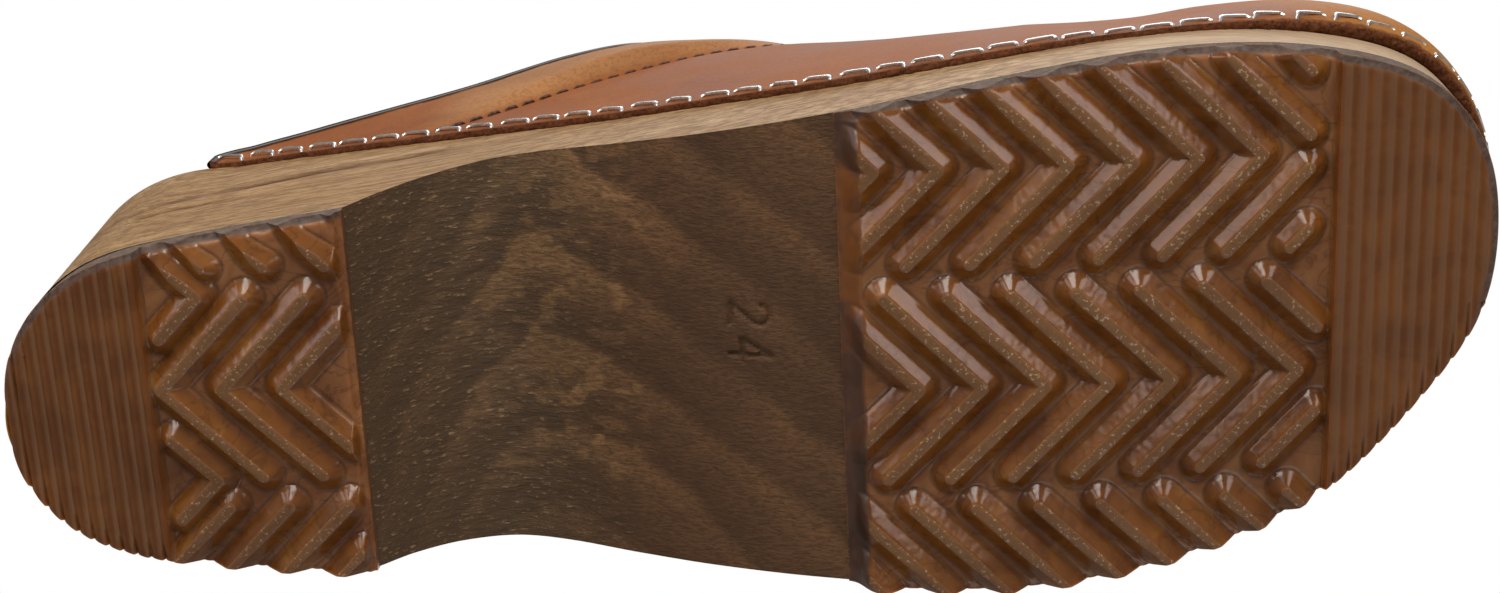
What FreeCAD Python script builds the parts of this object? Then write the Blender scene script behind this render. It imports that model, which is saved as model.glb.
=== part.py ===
import FreeCAD, Part
import math
import os

# A left-foot wooden clog, EU size 38, in millimetres.
# Frame: +X towards the toe, +Y towards the wearer's left (the outer side of the foot), +Z up.
# Origin: on the ground, under the middle of the object's box.

V = FreeCAD.Vector

# ---------------------------------------------------------------- driving dimensions
WIDE = 140.0                 # half width of the cutting solids, wider than the clog
TREAD_HEIGHT = 2.2           # lugs and ribs, from their floor to their crest
PAD_BASE = 3.0               # rubber under the treads
PAD_THICKNESS = PAD_BASE + TREAD_HEIGHT
CHEVRON_PITCH = 10.5
CHEVRON_ROW_PITCH = 37.9     # from one row of chevrons to the next, across the foot
CHEVRON_REACH = 16.1         # from apex to arm end, along X and along Y
BAR_WIDTH = 6.0              # width of a lug at its floor
BAR_CREST = 1.6              # width of its flat crest
RIB_PITCH = 2.45
RIB_CREST = 1.5
RIB_RELIEF = 1.0             # depth of the grooves between the ribs
TOE_SPRING_START = 24.8      # the sole is flat behind this X
TOE_SPRING_CURVE = 0.0013    # rise of the sole ahead of it, per mm squared
LEATHER = 2.2                # thickness of the vamp
COLLAR_LINING = 1.0
TOE_PUFF = 1.4
RABBET_GAP = 0.4             # between the wood's rabbet and the leather
LEATHER_PROUD = 1.2          # how far the vamp's outside stands out from the wood's side
HEEL_FLARE = 2.6             # how far the heel's back leans out at footbed height
FLARE_HEIGHT = 45.0
STAPLE_WIRE = 0.7
STAPLE_CROWN = 4.4
STAPLE_LEG = 7.0
STAPLE_PITCH = 6.3
STAPLE_RISE = 2.5            # staple crowns above the vamp's cut edge
STITCH_PITCH = 3.6
STITCH_LENGTH = 2.7
THREAD = 0.7

HEEL_PAD_FRONT = -65.0
FOREFOOT_PAD_BACK = 18.0
TREADS_FROM = 22.0           # where the forefoot's lugs begin
TOE_RIBS_START = 98.4
HEEL_RIBS_END = -100.0
VAMP_TIP = -101.0            # where the vamp's lower edge starts, near the heel

# Outline of the sole seen from above, from the heel round the inner side, the toe and the outer side.
SOLE_OUTLINE = [(-126.3, 9.0), (-122.3, -3.6), (-112.5, -13.4), (-95.0, -19.0), (-65.0, -23.6),
                (-20.0, -30.6), (22.0, -38.6), (50.0, -43.7), (78.0, -46.5), (100.0, -44.2),
                (116.0, -37.4), (124.2, -26.4), (126.8, -13.0), (124.9, 1.2), (115.4, 15.4),
                (98.8, 32.2), (78.2, 42.0), (48.0, 47.0), (15.0, 46.0), (-25.0, 44.7),
                (-68.0, 43.2), (-98.2, 39.6), (-115.8, 33.4), (-125.0, 22.0)]
HEEL_CENTRE = (-95.0, 9.5)

# Side profiles: height over X.
ARCH = [(-65.0, 5.2), (-60.0, 11.4), (-52.5, 17.6), (-43.0, 21.3), (-33.0, 20.2),
        (-20.0, 15.6), (-6.0, 10.6), (8.0, 6.8), (22.0, 4.6)]
RIM = [(-134.0, 52.0), (-100.0, 51.4), (-70.0, 49.0), (-40.0, 45.0), (-10.0, 39.0), (20.0, 31.5),
       (50.0, 27.6), (80.0, 28.4), (105.0, 32.5), (134.0, 38.5)]
LEDGE = [(-106.0, 50.4), (-98.0, 49.6), (-77.0, 45.2), (-63.0, 42.8), (-40.0, 37.8), (-27.0, 34.4),
         (-7.0, 29.4), (17.0, 22.8), (40.0, 19.2), (61.0, 17.8), (78.0, 18.6), (94.0, 21.0),
         (110.0, 24.6), (134.0, 31.0)]
RIDGE = [(-110.0, 104.0), (-50.0, 110.0), (-20.0, 109.5), (8.0, 104.0), (35.0, 89.0), (60.0, 74.0),
         (80.0, 64.5), (100.0, 57.0), (112.0, 52.5), (120.0, 47.5), (125.0, 41.5), (127.5, 36.5)]
TOPLINE = [(-104.6, 50.0), (-97.0, 57.5), (-85.0, 62.2), (-73.0, 67.0), (-61.0, 73.6), (-49.0, 81.0),
           (-36.0, 88.6), (-22.0, 95.6), (-8.0, 101.0), (6.0, 105.6), (16.0, 109.0)]
COLLAR_SEAM = [(-61.0, 42.0), (-50.0, 49.0), (-37.0, 58.0), (-24.0, 66.5), (-10.0, 74.5),
               (5.0, 82.0), (18.0, 88.0), (34.0, 94.0)]
FOOTBED_INSET = 8.0
FOOTBED_DEPTH = 3.2


# ---------------------------------------------------------------- helpers
def height(profile, x):
    """Height of a profile at x, on smooth slopes between its points."""
    count = len(profile)
    if x <= profile[0][0]:
        return profile[0][1]
    if x >= profile[-1][0]:
        return profile[-1][1]
    i = max(k for k in range(count - 1) if profile[k][0] <= x)

    def slope(k):
        a = profile[max(k - 1, 0)]
        b = profile[min(k + 1, count - 1)]
        return (b[1] - a[1]) / (b[0] - a[0])

    (x0, z0), (x1, z1) = profile[i], profile[i + 1]
    span = x1 - x0
    t = (x - x0) / span
    return ((2 * t**3 - 3 * t**2 + 1) * z0 + (t**3 - 2 * t**2 + t) * span * slope(i)
            + (3 * t**2 - 2 * t**3) * z1 + (t**3 - t**2) * span * slope(i + 1))


def spring(x):
    """Rise of the sole's underside ahead of the ball of the foot."""
    return TOE_SPRING_CURVE * max(0.0, x - TOE_SPRING_START) ** 2


def closed_wire(points, z=0.0):
    curve = Part.BSplineCurve()
    curve.interpolate([V(x, y, z) for x, y in points], PeriodicFlag=True)
    return Part.Wire([curve.toShape()])


def flared(points, flare):
    """The outline with its heel pushed out from the middle of the heel."""
    result = []
    for x, y in points:
        dx, dy = x - HEEL_CENTRE[0], y - HEEL_CENTRE[1]
        share = min(1.0, max(0.0, -dx / 25.0)) * flare / math.hypot(dx, dy)
        result.append((x + dx * share, y + dy * share))
    return result


def sole_block(inset=0.0, low=-5.0, high=80.0):
    """The outline raised to a block whose heel leans out, drawn in by inset all round."""
    wires = []
    for z in (low, high):
        wire = closed_wire(flared(SOLE_OUTLINE, HEEL_FLARE * z / FLARE_HEIGHT), z)
        if inset:
            wire = wire.makeOffset2D(-inset)
        wires.append(wire)
    return Part.makeLoft(wires, True, True)


def region(profile, beyond):
    """Everything between a side profile and the level beyond, right across the clog."""
    curve = Part.BSplineCurve()
    curve.interpolate([V(x, -WIDE, z) for x, z in profile])
    (x0, z0), (x1, z1) = profile[0], profile[-1]
    corners = [V(x1, -WIDE, z1), V(x1, -WIDE, beyond), V(x0, -WIDE, beyond), V(x0, -WIDE, z0)]
    face = Part.Face(Part.Wire([curve.toShape()] + Part.makePolygon(corners).Edges))
    return face.extrude(V(0, 2 * WIDE, 0))


def sampled(profile, shift=0.0, start=-134.0, end=134.0, step=8.0):
    count = int(round((end - start) / step))
    xs = [start + (end - start) * i / count for i in range(count + 1)]
    return [(x, height(profile, x) + shift) for x in xs]


def slab(x0, x1, z0=-20.0, z1=160.0):
    return Part.makeBox(x1 - x0, 2 * WIDE, z1 - z0, V(x0, -WIDE, z0))


def outline_sides(x, grown, samples={}):
    """Where the sole's outline, grown sideways at footbed height, crosses x: inner and outer side."""
    if grown not in samples:
        wire = closed_wire(flared(SOLE_OUTLINE, HEEL_FLARE)).makeOffset2D(grown)
        points = wire.discretize(1600)
        samples[grown] = points + points[:1]
    crossings = []
    for a, b in zip(samples[grown], samples[grown][1:]):
        if (a.x - x) * (b.x - x) <= 0 and a.x != b.x:
            crossings.append(a.y + (b.y - a.y) * (x - a.x) / (b.x - a.x))
    return min(crossings), max(crossings)


def save(shape, node):
    shape.exportStep(os.path.join("parts", node + ".step"))
    print(node, "solids", len(shape.Solids), "valid", shape.isValid(), "volume", round(shape.Volume, 1))


# ---------------------------------------------------------------- sole
def underside_profile():
    """The wood's underside ahead of the heel seat: arch and rising forefoot."""
    forefoot = [(x, PAD_THICKNESS + spring(x)) for x in range(40, 153, 16)]
    return ARCH + forefoot


def make_wooden_sole():
    block = sole_block()
    block = block.cut(region(underside_profile(), -40.0))
    block = block.cut(slab(-140.0, ARCH[0][0], -40.0, PAD_THICKNESS))
    block = block.cut(region(sampled(RIM), 120.0))
    rabbet = sole_block(-6.0).cut(sole_block(LEATHER + RABBET_GAP - LEATHER_PROUD))
    rabbet = rabbet.common(region(sampled(LEDGE, start=VAMP_TIP), 120.0))
    block = block.cut(rabbet)
    pocket = sole_block(FOOTBED_INSET).common(region(sampled(RIM, -FOOTBED_DEPTH), 120.0))
    return block.cut(pocket)


def bar(x0, y0, x1, y1):
    """One straight tread bar with sloped sides and round ends, its crest on the ground plane."""
    dx, dy = x1 - x0, y1 - y0
    length = math.hypot(dx, dy)

    def capsule(width, z):
        r = width / 2.0
        start, end = V(0, 0, z), V(length, 0, z)
        side_a = Part.makeLine(start + V(0, -r, 0), end + V(0, -r, 0))
        cap_a = Part.Arc(end + V(0, -r, 0), end + V(r, 0, 0), end + V(0, r, 0)).toShape()
        side_b = Part.makeLine(end + V(0, r, 0), start + V(0, r, 0))
        cap_b = Part.Arc(start + V(0, r, 0), start + V(-r, 0, 0), start + V(0, -r, 0)).toShape()
        return Part.Wire([side_a, cap_a, side_b, cap_b])

    solid = Part.makeLoft([capsule(BAR_CREST, 0.0), capsule(BAR_WIDTH, TREAD_HEIGHT + 0.4)], True, True)
    solid.rotate(V(0, 0, 0), V(0, 0, 1), math.degrees(math.atan2(dy, dx)))
    solid.translate(V(x0, y0, spring((x0 + x1) / 2.0)))
    return solid


def chevron(apex_x, apex_y, direction, back, front):
    """The two arms of a chevron, cut to the stretch from back to front; direction is its point's."""
    arms = []
    for side in (-1, 1):
        x0, x1 = sorted((apex_x, apex_x - direction * CHEVRON_REACH))
        low, high = max(x0, back), min(x1, front)
        if high - low < BAR_CREST:
            continue
        ends = [(x, apex_y + side * abs(x - apex_x)) for x in (low, high)]
        arms.append(bar(*ends[0], *ends[1]))
    return arms


def tread_pad(back, front, bars, ribs):
    """A rubber pad: its base plate, thicker under the ribs, and its treads, trimmed to the sole's outline."""
    beyond = 60.0
    profile = [(-140.0, TREAD_HEIGHT), (TOE_SPRING_START, TREAD_HEIGHT)]
    profile += [(x, TREAD_HEIGHT + spring(x)) for x in range(34, 149, 6)]
    corners = [V(x, -WIDE, z) for x, z in profile] + [V(148.0, -WIDE, beyond), V(-140.0, -WIDE, beyond)]
    plate = Part.Face(Part.makePolygon(corners + corners[:1])).extrude(V(0, 2 * WIDE, 0))
    under_wood = region(underside_profile(), -40.0)
    under_wood = under_wood.fuse(slab(-140.0, ARCH[0][0], -40.0, PAD_THICKNESS))
    outline = sole_block().common(slab(back, front))
    plate = plate.common(under_wood).common(outline)
    treads = bars[0].fuse(bars[1:] + [ribs]).common(outline)
    return plate.fuse(treads).removeSplitter()


def rib_band(start, count, sense):
    """The raised ribbed end of a pad: a slab with ribs right across it; sense is the way it runs along X."""
    corners = []
    for k in range(count):
        middle = start + sense * RIB_PITCH * (k + 0.6)
        for shift, low in ((-RIB_PITCH / 2.0 + 0.1, RIB_RELIEF), (-RIB_CREST / 2.0, 0.0),
                           (RIB_CREST / 2.0, 0.0), (RIB_PITCH / 2.0 - 0.1, RIB_RELIEF)):
            x = middle + sense * shift
            corners.append(V(x, -WIDE, spring(x) + low))
    back = [V(corners[-1].x, -WIDE, spring(corners[-1].x) + TREAD_HEIGHT + 0.4)]
    steps = 6
    for i in range(1, steps + 1):
        x = corners[-1].x + (corners[0].x - corners[-1].x) * i / steps
        back.append(V(x, -WIDE, spring(x) + TREAD_HEIGHT + 0.4))
    outline = corners + back
    return Part.Face(Part.makePolygon(outline + outline[:1])).extrude(V(0, 2 * WIDE, 0))


def make_heel_pad():
    row_y = 7.0
    apex = HEEL_RIBS_END + 1.6
    bars = []
    for k in range(4):
        bars += chevron(apex + k * CHEVRON_PITCH, row_y, -1, HEEL_RIBS_END, HEEL_PAD_FRONT - 2.7)
    for row in (-1, 1):
        for k in range(4):
            bars += chevron(apex - 6.3 + k * CHEVRON_PITCH, row_y + row * CHEVRON_ROW_PITCH, -1,
                            HEEL_RIBS_END, HEEL_PAD_FRONT - 2.7)
    for row in (-1, 1):
        bars += chevron(HEEL_RIBS_END + 9.4, row_y + row * 16.7, 1, HEEL_RIBS_END + 1.7, HEEL_PAD_FRONT)
    return tread_pad(-140.0, HEEL_PAD_FRONT, bars, rib_band(HEEL_RIBS_END, 13, -1.0))


def make_forefoot_pad():
    row_y = 9.2
    apex = 30.5
    bars = []
    for row, lead, count in ((-1, 3.7, 9), (0, 0.0, 9), (1, 4.3, 9)):
        for k in range(-1, count):
            bars += chevron(apex + lead + k * CHEVRON_PITCH, row_y + row * CHEVRON_ROW_PITCH, 1,
                            TREADS_FROM, TOE_RIBS_START - 1.6)
    return tread_pad(FOREFOOT_PAD_BACK, 140.0, bars, rib_band(TOE_RIBS_START, 13, 1.0))


# ---------------------------------------------------------------- upper
SECTION_STATIONS = [-112.0, -90.0, -65.0, -40.0, -15.0, 10.0, 35.0, 60.0, 80.0, 97.0, 110.0, 118.0,
                    123.0, 127.0]
TOE_STATIONS_FROM = 115.0
# Roundness of the upper's sections over X: 2 is an ellipse, more is squarer.
ROUNDNESS = [(-110.0, 3.4), (-40.0, 3.4), (-5.0, 3.1), (30.0, 2.55), (60.0, 2.5), (90.0, 3.1), (128.0, 2.8)]
RIDGE_Y = -1.0               # the instep's ridge lies a little to the inner side
TOE_Y = -13.0


def upper_point(x, angle, inset=0.0):
    """A point of the section at x: angle runs from 0 at the inner edge over the top to pi."""
    low, high = outline_sides(x, LEATHER_PROUD - inset)
    base = height(LEDGE, x) - 0.5
    top = height(RIDGE, x) - inset
    blend = min(1.0, max(0.0, (x - 60.0) / 66.0))
    ridge_y = RIDGE_Y + (TOE_Y - RIDGE_Y) * blend
    power = 2.0 / height(ROUNDNESS, x)
    across = math.copysign(abs(math.cos(angle)) ** power, -math.cos(angle))
    reach = (ridge_y - low) if across < 0 else (high - ridge_y)
    return V(x, ridge_y + across * reach, base + (top - base) * abs(math.sin(angle)) ** power)


def upper_section(x, inset):
    """A closed section across the clog: the leather's outside, drawn in by inset."""
    steps = 12
    points = [upper_point(x, math.pi * i / steps, inset) for i in range(steps + 1)]
    curve = Part.BSplineCurve()
    curve.interpolate(points)
    skirt = points[0].z - 12.0
    corners = [points[-1], V(x, points[-1].y, skirt), V(x, points[0].y, skirt), points[0]]
    return Part.Wire([curve.toShape()] + Part.makePolygon(corners).Edges)


def upper_block(inset):
    """The upper as one block; the last sections move back so that the toe draws in too."""
    stations = [x if x < TOE_STATIONS_FROM else x - inset for x in SECTION_STATIONS]
    return Part.makeLoft([upper_section(x, inset) for x in stations], True, False)


def above_ledge():
    return region(sampled(LEDGE, RABBET_GAP), 160.0).common(slab(VAMP_TIP, 140.0))


def below_topline():
    """The space left under the topline: the whole length, less what the opening cuts away."""
    cut = region(TOPLINE, 160.0)
    return slab(VAMP_TIP, 140.0).cut(cut)


def shell(outer_inset, inner_inset):
    return upper_block(outer_inset).cut(upper_block(inner_inset))


def make_vamp():
    return shell(0.0, LEATHER).common(above_ledge()).common(below_topline())


def make_collar_lining():
    band = shell(LEATHER, LEATHER + COLLAR_LINING).common(below_topline())
    band = band.common(region(sampled(RIM, 0.6), 160.0))
    seam = [(x, z - 2.5) for x, z in COLLAR_SEAM]
    front = seam[-1][0]
    above_seam = region(seam, 160.0).fuse(slab(-140.0, seam[0][0]))
    return band.common(above_seam).common(slab(-140.0, front))


def make_toe_puff():
    band = shell(LEATHER, LEATHER + TOE_PUFF).common(region(sampled(RIM, 0.8), 160.0))
    return band.common(slab(88.0, 140.0))


# ---------------------------------------------------------------- fasteners and thread
def upper_normal(x, angle):
    """The outward direction of the upper at a point."""
    along = upper_point(x + 0.5, angle) - upper_point(x - 0.5, angle)
    around = upper_point(x, angle + 0.02) - upper_point(x, angle - 0.02)
    normal = around.cross(along)
    normal.normalize()
    return normal


def block_between(a, b, outward, width, depth, sink):
    """A small bar from a to b lying on a surface, sunk into it by sink."""
    along = b - a
    length = along.Length
    along.normalize()
    across = outward.cross(along)
    solid = Part.makeBox(length, width, depth, V(0, -width / 2.0, -sink))
    turn = FreeCAD.Matrix(along.x, across.x, outward.x, a.x, along.y, across.y, outward.y, a.y,
                          along.z, across.z, outward.z, a.z, 0, 0, 0, 1)
    return solid.transformGeometry(turn)


def leather_outline():
    """Points close together round the vamp's lower edge, from the inner tip to the outer tip."""
    wire = closed_wire(flared(SOLE_OUTLINE, HEEL_FLARE)).makeOffset2D(LEATHER_PROUD)
    points = wire.discretize(Distance=0.5)
    start = min(range(len(points)), key=lambda i: math.hypot(points[i].x - VAMP_TIP, points[i].y + 20.0))
    points = points[start:] + points[:start]
    if points[10].x < points[0].x:
        points = points[:1] + points[:0:-1]
    return [p for p in points if p.x > VAMP_TIP + 2.0]


def staple(centre, along, outward):
    """A staple: a crown on the leather and two legs into the wood."""
    half = along * (STAPLE_CROWN / 2.0)
    crown = block_between(centre - half, centre + half, outward, STAPLE_WIRE, STAPLE_WIRE, 0.15)
    solid = crown
    for end in (-1, 1):
        foot = centre + along * (end * (STAPLE_CROWN - STAPLE_WIRE) / 2.0) + outward * 0.3
        leg = block_between(foot, foot - outward * STAPLE_LEG, along, STAPLE_WIRE, STAPLE_WIRE,
                            STAPLE_WIRE / 2.0)
        solid = solid.fuse(leg)
    return solid


def make_staples():
    """The staples along the vamp's lower edge, in three groups: inner side, toe and outer side."""
    points = leather_outline()
    groups = {"medial": [], "toe": [], "lateral": []}
    travelled = STAPLE_PITCH / 2.0
    for a, b in zip(points, points[1:]):
        travelled += (b - a).Length
        if travelled < STAPLE_PITCH:
            continue
        travelled -= STAPLE_PITCH
        along = b - a
        along.z = height(LEDGE, b.x) - height(LEDGE, a.x)
        along.normalize()
        outward = V(b.y - a.y, -(b.x - a.x), 0)
        outward.normalize()
        centre = V(a.x, a.y, height(LEDGE, a.x) + STAPLE_RISE)
        name = "toe" if a.x > 92.0 else ("medial" if a.y < 0 else "lateral")
        groups[name].append(staple(centre, along, outward))
    return groups


def seam_x(angle):
    """Where the collar seam crosses the line of the upper at this angle, by halving."""
    low, high = COLLAR_SEAM[0][0], COLLAR_SEAM[-1][0]
    for _ in range(40):
        middle = (low + high) / 2.0
        if upper_point(middle, angle).z > height(COLLAR_SEAM, middle):
            low = middle
        else:
            high = middle
    return low


def seam_route():
    """The collar seam over the vamp, from the inner side over the instep to the outer side."""
    first, last, count = 0.05, math.pi - 0.05, 900
    angles = [first + (last - first) * i / count for i in range(count + 1)]
    route = [(upper_point(seam_x(a), a), upper_normal(seam_x(a), a)) for a in angles]
    return [(p, n) for p, n in route if p.z > height(RIM, p.x) + 1.0]


def make_seam_threads():
    """Stitches on the leather, and the matching ones on the lining: two threads, as in a lockstitch."""
    route = seam_route()
    top, bobbin = [], []
    start, normal = route[0]
    for point, next_normal in route[1:]:
        if (point - start).Length < STITCH_PITCH:
            continue
        along = point - start
        along.normalize()
        end = start + along * STITCH_LENGTH
        outward = along.cross(normal.cross(along))
        outward.normalize()
        depth = outward * (LEATHER + COLLAR_LINING)
        top.append(block_between(start, end, outward, THREAD, THREAD, 0.3))
        bobbin.append(block_between(start - depth, end - depth, outward * -1, THREAD, THREAD, 0.3))
        start, normal = point, next_normal
    return top, bobbin


def main():
    os.makedirs("parts", exist_ok=True)
    save(make_wooden_sole(), "wooden_sole")
    save(make_heel_pad(), "heel_tread_pad")
    save(make_forefoot_pad(), "forefoot_tread_pad")
    save(make_vamp(), "vamp")
    save(make_collar_lining(), "collar_lining")
    save(make_toe_puff(), "toe_puff")
    for name, solids in make_staples().items():
        save(Part.makeCompound(solids), name + "_staples")
    top, bobbin = make_seam_threads()
    save(Part.makeCompound(top), "seam_needle_thread")
    save(Part.makeCompound(bobbin), "seam_bobbin_thread")


main()
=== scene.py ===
import math

import bmesh
import bpy
import numpy as np
from mathutils import Euler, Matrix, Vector
from mathutils.kdtree import KDTree


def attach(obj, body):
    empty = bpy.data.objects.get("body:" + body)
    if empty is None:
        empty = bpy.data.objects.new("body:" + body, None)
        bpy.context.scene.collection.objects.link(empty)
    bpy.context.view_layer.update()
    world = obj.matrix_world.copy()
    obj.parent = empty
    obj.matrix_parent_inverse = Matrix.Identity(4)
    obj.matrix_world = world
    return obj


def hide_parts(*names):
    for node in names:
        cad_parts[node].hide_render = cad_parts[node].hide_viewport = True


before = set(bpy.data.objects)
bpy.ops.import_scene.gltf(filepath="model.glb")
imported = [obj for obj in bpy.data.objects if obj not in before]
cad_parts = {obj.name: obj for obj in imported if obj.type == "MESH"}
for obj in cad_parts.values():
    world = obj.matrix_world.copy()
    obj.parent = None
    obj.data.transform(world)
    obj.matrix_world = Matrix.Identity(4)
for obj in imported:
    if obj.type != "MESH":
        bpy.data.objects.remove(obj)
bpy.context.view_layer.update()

# A left-foot wooden clog seen from below. The shapes are worked out in millimetres, in the row frame
# (+X toe, +Y outer side, +Z up), and put into Blender in metres.

MM = 0.001

# ---- the clog's driving shapes, in mm
SOLE_OUTLINE = [(-126.3, 9), (-122.3, -3.6), (-112.5, -13.4), (-95, -19), (-65, -23.6), (-20, -30.6),
    (22, -38.6), (50, -43.7), (78, -46.5), (100, -44.2), (116, -37.4), (124.2, -26.4), (126.8, -13),
    (124.9, 1.2), (115.4, 15.4), (98.8, 31.6), (78.2, 41.3), (48, 46.8), (15, 46), (-25, 45.2),
    (-68, 42.2), (-98.2, 39.2), (-115.8, 33.4), (-125, 22)]
OUTLINE_POINTS = 3000
WIDE = 200.0                  # a distance beyond every edge of the clog
HEEL_CENTRE = (-95.0, 9.5)
HEEL_ROUND = 25.0             # how far behind the heel's centre its back leans out in full
HEEL_FLARE = 2.6
FLARE_HEIGHT = 45.0

HEEL_PAD_FRONT = -65.0
FOREFOOT_PAD_BACK = 17.5
TREADS_FROM = 19.5
PAD_THICKNESS = 5.2
TREAD_HEIGHT = 2.1
TOE_SPRING_START = 24.8
TOE_SPRING_CURVE = 0.0013
ARCH = [(-65, 5.2), (-60, 11.4), (-52.5, 17.6), (-43, 21.3), (-33, 20.2), (-20, 15.6), (-6, 10.6),
    (8, 6.8), (22, 4.6)]
RIM = [(-134, 52), (-100, 51.4), (-70, 49), (-40, 45), (-10, 39), (20, 31.5), (50, 27.6), (80, 28.4),
    (105, 32.5), (134, 38.5)]
LEDGE = [(-106, 50.4), (-98, 49.6), (-77, 45.2), (-63, 42.8), (-40, 37.8), (-27, 34.4), (-7, 29.4),
    (17, 22.8), (40, 19.2), (61, 17.8), (78, 18.6), (94, 21), (110, 24.6), (134, 31)]
RIDGE = [(-110, 104), (-50, 110), (-20, 109.5), (8, 104), (35, 89), (60, 74), (80, 64.5), (100, 57),
    (112, 52.5), (120, 47.5), (125, 41.5), (127.5, 36.5)]
TOPLINE = [(-104.6, 50), (-97, 57.5), (-85, 62.2), (-73, 67), (-61, 73.6), (-49, 81), (-36, 88.6),
    (-22, 95.6), (-8, 101), (6, 105.6), (16, 109)]
COLLAR_SEAM = [(-61, 42), (-50, 49), (-37, 58), (-24, 66.5), (-10, 74.5), (5, 82), (18, 88), (34, 94)]
VAMP_TIP = -101.0
TOE_TIP = 127.3
LEATHER = 2.2
COLLAR_LINING = 1.0
TOE_PUFF = 1.4
RABBET = 1.4
LEATHER_PROUD = 1.2           # how far the leather's outside stands out from the wood's side
RIDGE_Y = -1.0
TOE_Y = -13.0
# How far the collar stands out above its seam, and how far the toe stands out of the even section, over X.
COLLAR_PUFF = [(-101, -0.3), (-66, 0), (-52, 0.9), (-38, 2.5), (-25, 3.6), (-10, 2.6), (8, 0.7), (30, 0)]
TOE_BULGE = [(50, -0.1), (68, -1), (80, -0.2), (98, 2.1), (110, 2.8), (128, 2.2)]
RIM_FLARE = 0.7               # how far the cut edge of the topline turns out
RIM_SHARE = 0.022             # the finely divided share of the leather along its topline
ROUNDNESS = [(-110, 3.4), (-40, 3.4), (-5, 3.1), (30, 2.55), (60, 2.5), (90, 3.1), (128, 2.8)]


# ---- small maths
def smooth(low, high, value):
    """0 below low, 1 above high, and a smooth slope between."""
    t = np.clip((value - low) / (high - low), 0.0, 1.0)
    return t * t * (3.0 - 2.0 * t)


def fade(low, high, value):
    """1 below low, 0 above high, and a smooth slope between."""
    return 1.0 - smooth(low, high, value)


def hermite(t, a, b, slope_a, slope_b):
    """A cubic from a to b with these slopes at its ends; t runs from 0 to 1."""
    return ((2 * t**3 - 3 * t**2 + 1) * a + (t**3 - 2 * t**2 + t) * slope_a
            + (3 * t**2 - 2 * t**3) * b + (t**3 - t**2) * slope_b)


def profile(points):
    """A function of x that runs smoothly through the points."""
    p = np.array(points, float)
    xs, zs = p[:, 0], p[:, 1]
    slopes = np.empty(len(p))
    slopes[1:-1] = (zs[2:] - zs[:-2]) / (xs[2:] - xs[:-2])
    slopes[0] = (zs[1] - zs[0]) / (xs[1] - xs[0])
    slopes[-1] = (zs[-1] - zs[-2]) / (xs[-1] - xs[-2])

    def at(x):
        x = np.clip(x, xs[0], xs[-1])
        i = np.clip(np.searchsorted(xs, x, side="right") - 1, 0, len(xs) - 2)
        span = xs[i + 1] - xs[i]
        return hermite((x - xs[i]) / span, zs[i], zs[i + 1], span * slopes[i], span * slopes[i + 1])
    return at


arch_at, rim_at, ledge_at = profile(ARCH), profile(RIM), profile(LEDGE)
ridge_at, topline_at, seam_at = profile(RIDGE), profile(TOPLINE), profile(COLLAR_SEAM)
roundness_at, puff_at, bulge_at = profile(ROUNDNESS), profile(COLLAR_PUFF), profile(TOE_BULGE)


def noise(points, size, seed=0.0):
    """Smooth random values from -1 to 1 at the points; size is the grain in mm, one number or three."""
    q = points.reshape(-1, 3) / size + seed * 17.31
    cell = np.floor(q)
    f = q - cell
    f = f * f * (3.0 - 2.0 * f)
    total = np.zeros(len(q))
    for corner in np.ndindex(2, 2, 2):
        value = np.sin((cell + np.array(corner)) @ np.array([127.1, 311.7, 74.7])) * 43758.5453
        weight = np.prod(np.where(np.array(corner) == 1, f, 1.0 - f), axis=1)
        total += weight * (value - np.floor(value))
    return (total * 2.0 - 1.0).reshape(points.shape[:-1])


def unit(vectors):
    """The vectors, each scaled to length one."""
    return vectors / np.linalg.norm(vectors, axis=-1, keepdims=True)


def between(a, b, count, axis=1):
    """A grid that runs from the points a to the points b in even steps."""
    return np.stack([a * (1.0 - s) + b * s for s in np.linspace(0.0, 1.0, count)], axis=axis)


def lengths(line):
    """The distance along a line at each of its points."""
    return np.concatenate([[0.0], np.cumsum(np.linalg.norm(np.diff(line, axis=0), axis=1))])


def at_length(line, along, distance):
    """The points of a line at a distance along it."""
    return np.stack([np.interp(distance, along, part) for part in line.T], axis=-1)


def resampled(line, count):
    """count points evenly spaced along a line."""
    along = lengths(line)
    return at_length(line, along, np.linspace(0.0, along[-1], count))


def from_segment(x, y, a, b):
    """The distance of the points x, y from the segment between a and b."""
    dx, dy = b[0] - a[0], b[1] - a[1]
    t = np.clip(((x - a[0]) * dx + (y - a[1]) * dy) / (dx * dx + dy * dy), 0.0, 1.0)
    return np.hypot(x - a[0] - t * dx, y - a[1] - t * dy)


def squared_circle(angle, power):
    """A circle's two coordinates at an angle, pushed out towards a square as the power falls below 1."""
    c, s = np.cos(angle), np.sin(angle)
    return np.sign(c) * np.abs(c) ** power, np.sign(s) * np.abs(s) ** power


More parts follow.
